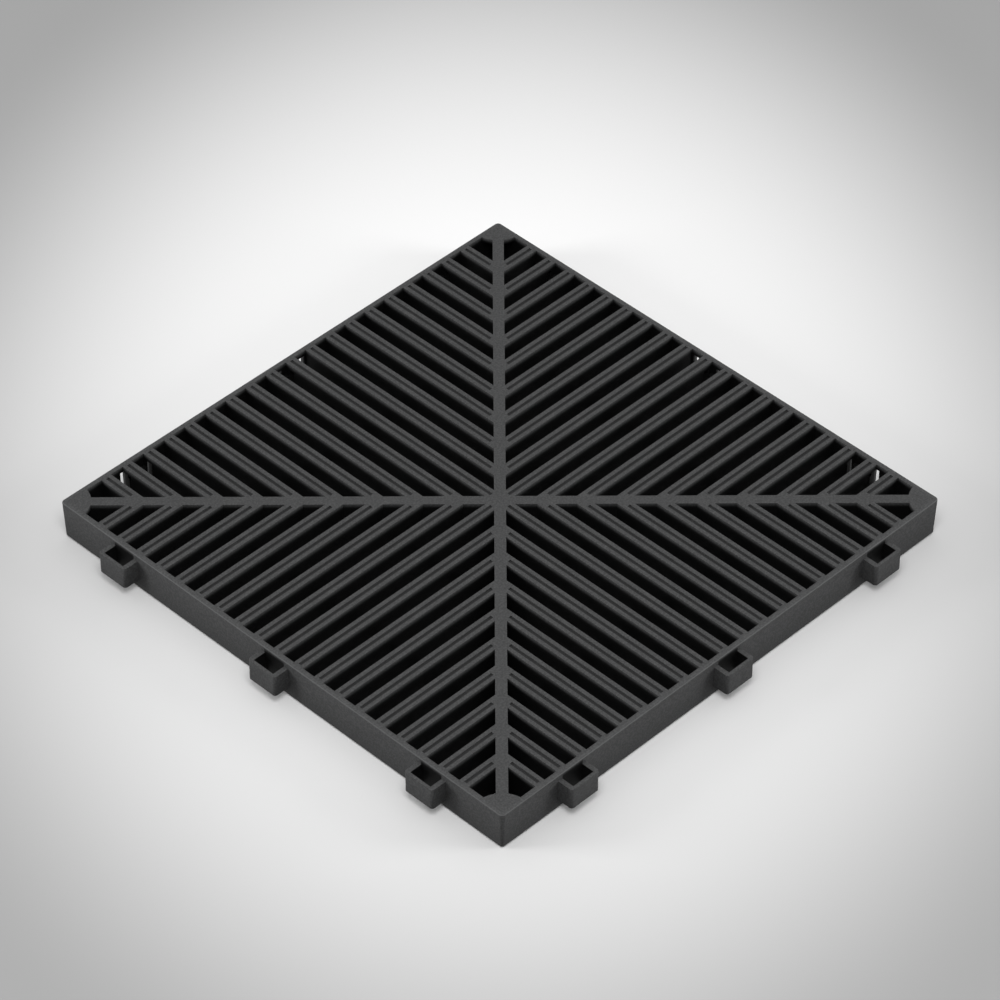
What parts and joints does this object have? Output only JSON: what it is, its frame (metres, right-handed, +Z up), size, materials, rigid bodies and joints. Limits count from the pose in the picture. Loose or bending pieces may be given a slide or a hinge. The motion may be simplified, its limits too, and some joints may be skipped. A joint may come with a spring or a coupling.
{
  "type": "interlocking plastic floor tile",
  "caption": "Square open-rib plastic floor tile with ribs meeting on two diagonals, a solid rim, loops on two sides and tongues on the other two.",
  "frame": {"origin": "on the floor under the middle of the square, at the foot of the middle hub", "axes": "+Z up out of the tread, X and Y square to the sides; the loops stand out of the -X and -Y sides"},
  "size_m": [0.4112, 0.4112, 0.03],
  "materials": {
    "tile_plastic": "fine moulded grain, dark charcoal grey"
  },
  "bodies": {
    "root": {"floor_tile": "tile_plastic"}
  },
  "joints": []
}
